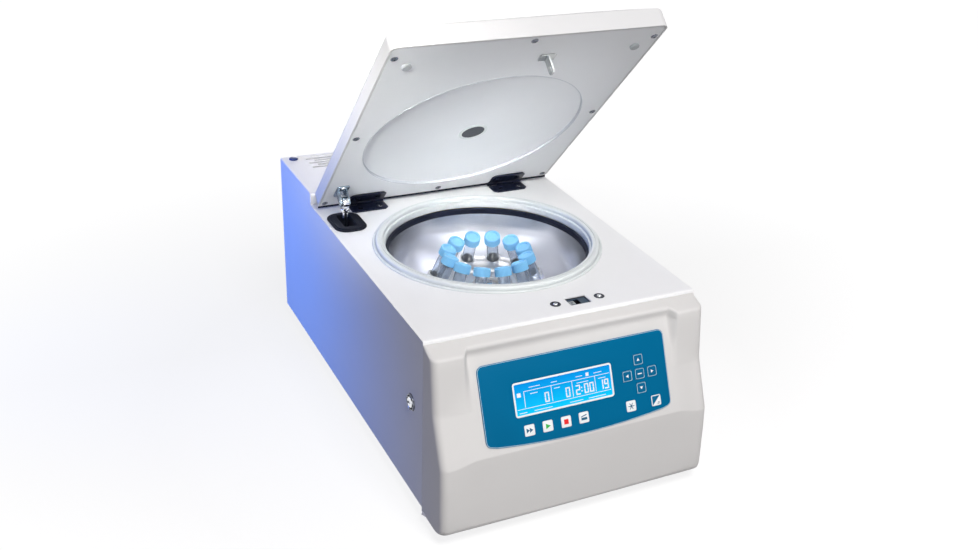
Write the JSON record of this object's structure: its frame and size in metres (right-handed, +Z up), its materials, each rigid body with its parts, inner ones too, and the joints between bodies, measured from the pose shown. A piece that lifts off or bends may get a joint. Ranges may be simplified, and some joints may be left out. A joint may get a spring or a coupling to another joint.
{
  "type": "refrigerated centrifuge",
  "caption": "Refrigerated bench centrifuge with a hinged lid on a gas strut, angle rotor with capped tubes, moulded front panel and cooling unit",
  "frame": {"origin": "on the bench, under the middle of the instrument's bounding box", "axes": "+Z up, +Y from the control panel to the rear, +X to the right of someone facing the panel"},
  "size_m": [0.37, 0.647, 0.5863],
  "materials": {
    "white_powder": "fine powder coat, satin",
    "warm_moulding": "painted foam moulding, satin",
    "liner_grey": "formed sheet, satin",
    "seal_grey": "soft silicone seal",
    "stainless": "polished stainless sheet",
    "aluminium": "turned and polished",
    "zinc_steel": "zinc plated sheet",
    "chrome": "bright plated",
    "black_coat": "black coated steel",
    "black_rubber": "moulded rubber",
    "foam": "rigid insulating foam",
    "copper": "drawn copper pipe",
    "overlay_teal": "printed film",
    "display_blue": "backlit display",
    "key_white": "printed film",
    "key_teal": "printed film",
    "tube_blue": "moulded cap and clear tube",
    "smoked_glass": "smoked window",
    "black_plastic": "moulded"
  },
  "bodies": {
    "cabinet": {"cabinet_shell": "white_powder", "base_pan": "zinc_steel", "rear_panel": "white_powder", "front_fascia": "warm_moulding", "control_overlay": "overlay_teal", "display_module": "display_blue", "foot_front_left": "black_rubber", "foot_front_right": "black_rubber", "foot_rear_left": "black_rubber", "foot_rear_right": "black_rubber", "bowl": "stainless", "bowl_gasket": "seal_grey", "insulated_drum": "foam", "evaporator_coil": "copper", "motor_housing": "zinc_steel", "hinge_deck_leaf_left": "black_coat", "hinge_deck_leaf_right": "black_coat", "strut_boot": "black_rubber", "lock_housing": "zinc_steel", "compressor": "black_coat", "condenser": "aluminium", "power_inlet": "black_plastic"},
    "lid": {"lid_cover": "white_powder", "lid_liner": "liner_grey", "sight_glass": "smoked_glass", "lid_hook": "chrome", "hinge_lid_leaf_left": "black_coat", "hinge_lid_leaf_right": "black_coat", "strut_bracket": "chrome"},
    "strut_lower": {"strut_cylinder": "black_coat"},
    "strut_upper": {"strut_rod": "chrome"},
    "rotor": {"drive_shaft": "chrome", "rotor_body": "aluminium", "rotor_nut": "chrome", "tube_01": "tube_blue", "tube_02": "tube_blue", "tube_03": "tube_blue", "tube_04": "tube_blue", "tube_05": "tube_blue", "tube_06": "tube_blue", "tube_07": "tube_blue", "tube_08": "tube_blue", "tube_09": "tube_blue", "tube_10": "tube_blue", "tube_11": "tube_blue", "tube_12": "tube_blue"},
    "bolt": {"lock_bolt": "chrome"},
    "fan": {"fan_rotor": "black_plastic"},
    "rocker": {"power_switch": "black_plastic"},
    "button_short_spin": {"key_short_spin": "key_white"},
    "button_start": {"key_start": "key_white"},
    "button_stop": {"key_stop": "key_white"},
    "button_lid": {"key_lid": "key_white"},
    "button_precool": {"key_precool": "key_white"},
    "button_program": {"key_program": "key_white"},
    "button_up": {"key_up": "key_teal"},
    "button_left": {"key_left": "key_teal"},
    "button_set": {"key_set": "key_teal"},
    "button_right": {"key_right": "key_teal"},
    "button_down": {"key_down": "key_teal"}
  },
  "joints": [
    {"name": "lid_hinge", "type": "hinge", "parent": "cabinet", "child": "lid", "pos_m": [0, 0.1488, 0.2588], "axis": [1, 0, 0], "range_deg": [0, 45.8], "stiffness_Nm_per_rad": 5, "springref_deg": -114.59},
    {"name": "strut_swing", "type": "hinge", "parent": "cabinet", "child": "strut_lower", "pos_m": [-0.157, 0.097, 0.045], "axis": [1, 0, 0], "range_deg": [0, 0.7]},
    {"name": "strut_slide", "type": "slide", "parent": "strut_lower", "child": "strut_upper", "axis": [0, -0.0111, -0.9999], "range_m": [0, 0.0412]},
    {"name": "rotor_spin", "type": "hinge", "parent": "cabinet", "child": "rotor", "pos_m": [0, -0.035, 0.15], "axis": [0, 0, 1], "continuous": true},
    {"name": "lock_bolt_slide", "type": "slide", "parent": "cabinet", "child": "bolt", "axis": [-1, 0, 0], "range_m": [0, 0.02]},
    {"name": "fan_spin", "type": "hinge", "parent": "cabinet", "child": "fan", "pos_m": [0.078, 0.3, 0.15], "axis": [0, 1, 0], "continuous": true},
    {"name": "power_switch_rock", "type": "hinge", "parent": "cabinet", "child": "rocker", "pos_m": [-0.127, 0.313, 0.07], "axis": [-1, 0, 0], "range_deg": [0, 16]},
    {"name": "key_short_spin_press", "type": "slide", "parent": "cabinet", "child": "button_short_spin", "axis": [0, 0.9205, -0.3907], "range_m": [0, 0.0004], "stiffness_N_per_m": 2000, "springref_m": -0.0005},
    {"name": "key_start_press", "type": "slide", "parent": "cabinet", "child": "button_start", "axis": [0, 0.9205, -0.3907], "range_m": [0, 0.0004], "stiffness_N_per_m": 2000, "springref_m": -0.0005},
    {"name": "key_stop_press", "type": "slide", "parent": "cabinet", "child": "button_stop", "axis": [0, 0.9205, -0.3907], "range_m": [0, 0.0004], "stiffness_N_per_m": 2000, "springref_m": -0.0005},
    {"name": "key_lid_press", "type": "slide", "parent": "cabinet", "child": "button_lid", "axis": [0, 0.9205, -0.3907], "range_m": [0, 0.0004], "stiffness_N_per_m": 2000, "springref_m": -0.0005},
    {"name": "key_precool_press", "type": "slide", "parent": "cabinet", "child": "button_precool", "axis": [0, 0.9205, -0.3907], "range_m": [0, 0.0004], "stiffness_N_per_m": 2000, "springref_m": -0.0005},
    {"name": "key_program_press", "type": "slide", "parent": "cabinet", "child": "button_program", "axis": [0, 0.9205, -0.3907], "range_m": [0, 0.0004], "stiffness_N_per_m": 2000, "springref_m": -0.0005},
    {"name": "key_up_press", "type": "slide", "parent": "cabinet", "child": "button_up", "axis": [0, 0.9205, -0.3907], "range_m": [0, 0.0004], "stiffness_N_per_m": 2000, "springref_m": -0.0005},
    {"name": "key_left_press", "type": "slide", "parent": "cabinet", "child": "button_left", "axis": [0, 0.9205, -0.3907], "range_m": [0, 0.0004], "stiffness_N_per_m": 2000, "springref_m": -0.0005},
    {"name": "key_set_press", "type": "slide", "parent": "cabinet", "child": "button_set", "axis": [0, 0.9205, -0.3907], "range_m": [0, 0.0004], "stiffness_N_per_m": 2000, "springref_m": -0.0005},
    {"name": "key_right_press", "type": "slide", "parent": "cabinet", "child": "button_right", "axis": [0, 0.9205, -0.3907], "range_m": [0, 0.0004], "stiffness_N_per_m": 2000, "springref_m": -0.0005},
    {"name": "key_down_press", "type": "slide", "parent": "cabinet", "child": "button_down", "axis": [0, 0.9205, -0.3907], "range_m": [0, 0.0004], "stiffness_N_per_m": 2000, "springref_m": -0.0005}
  ],
  "couplings": [
    {"joint": "strut_swing", "follows": "lid_hinge", "ratio": 0.0145},
    {"joint": "strut_slide", "follows": "lid_hinge", "m_per_rad": 0.05134}
  ]
}
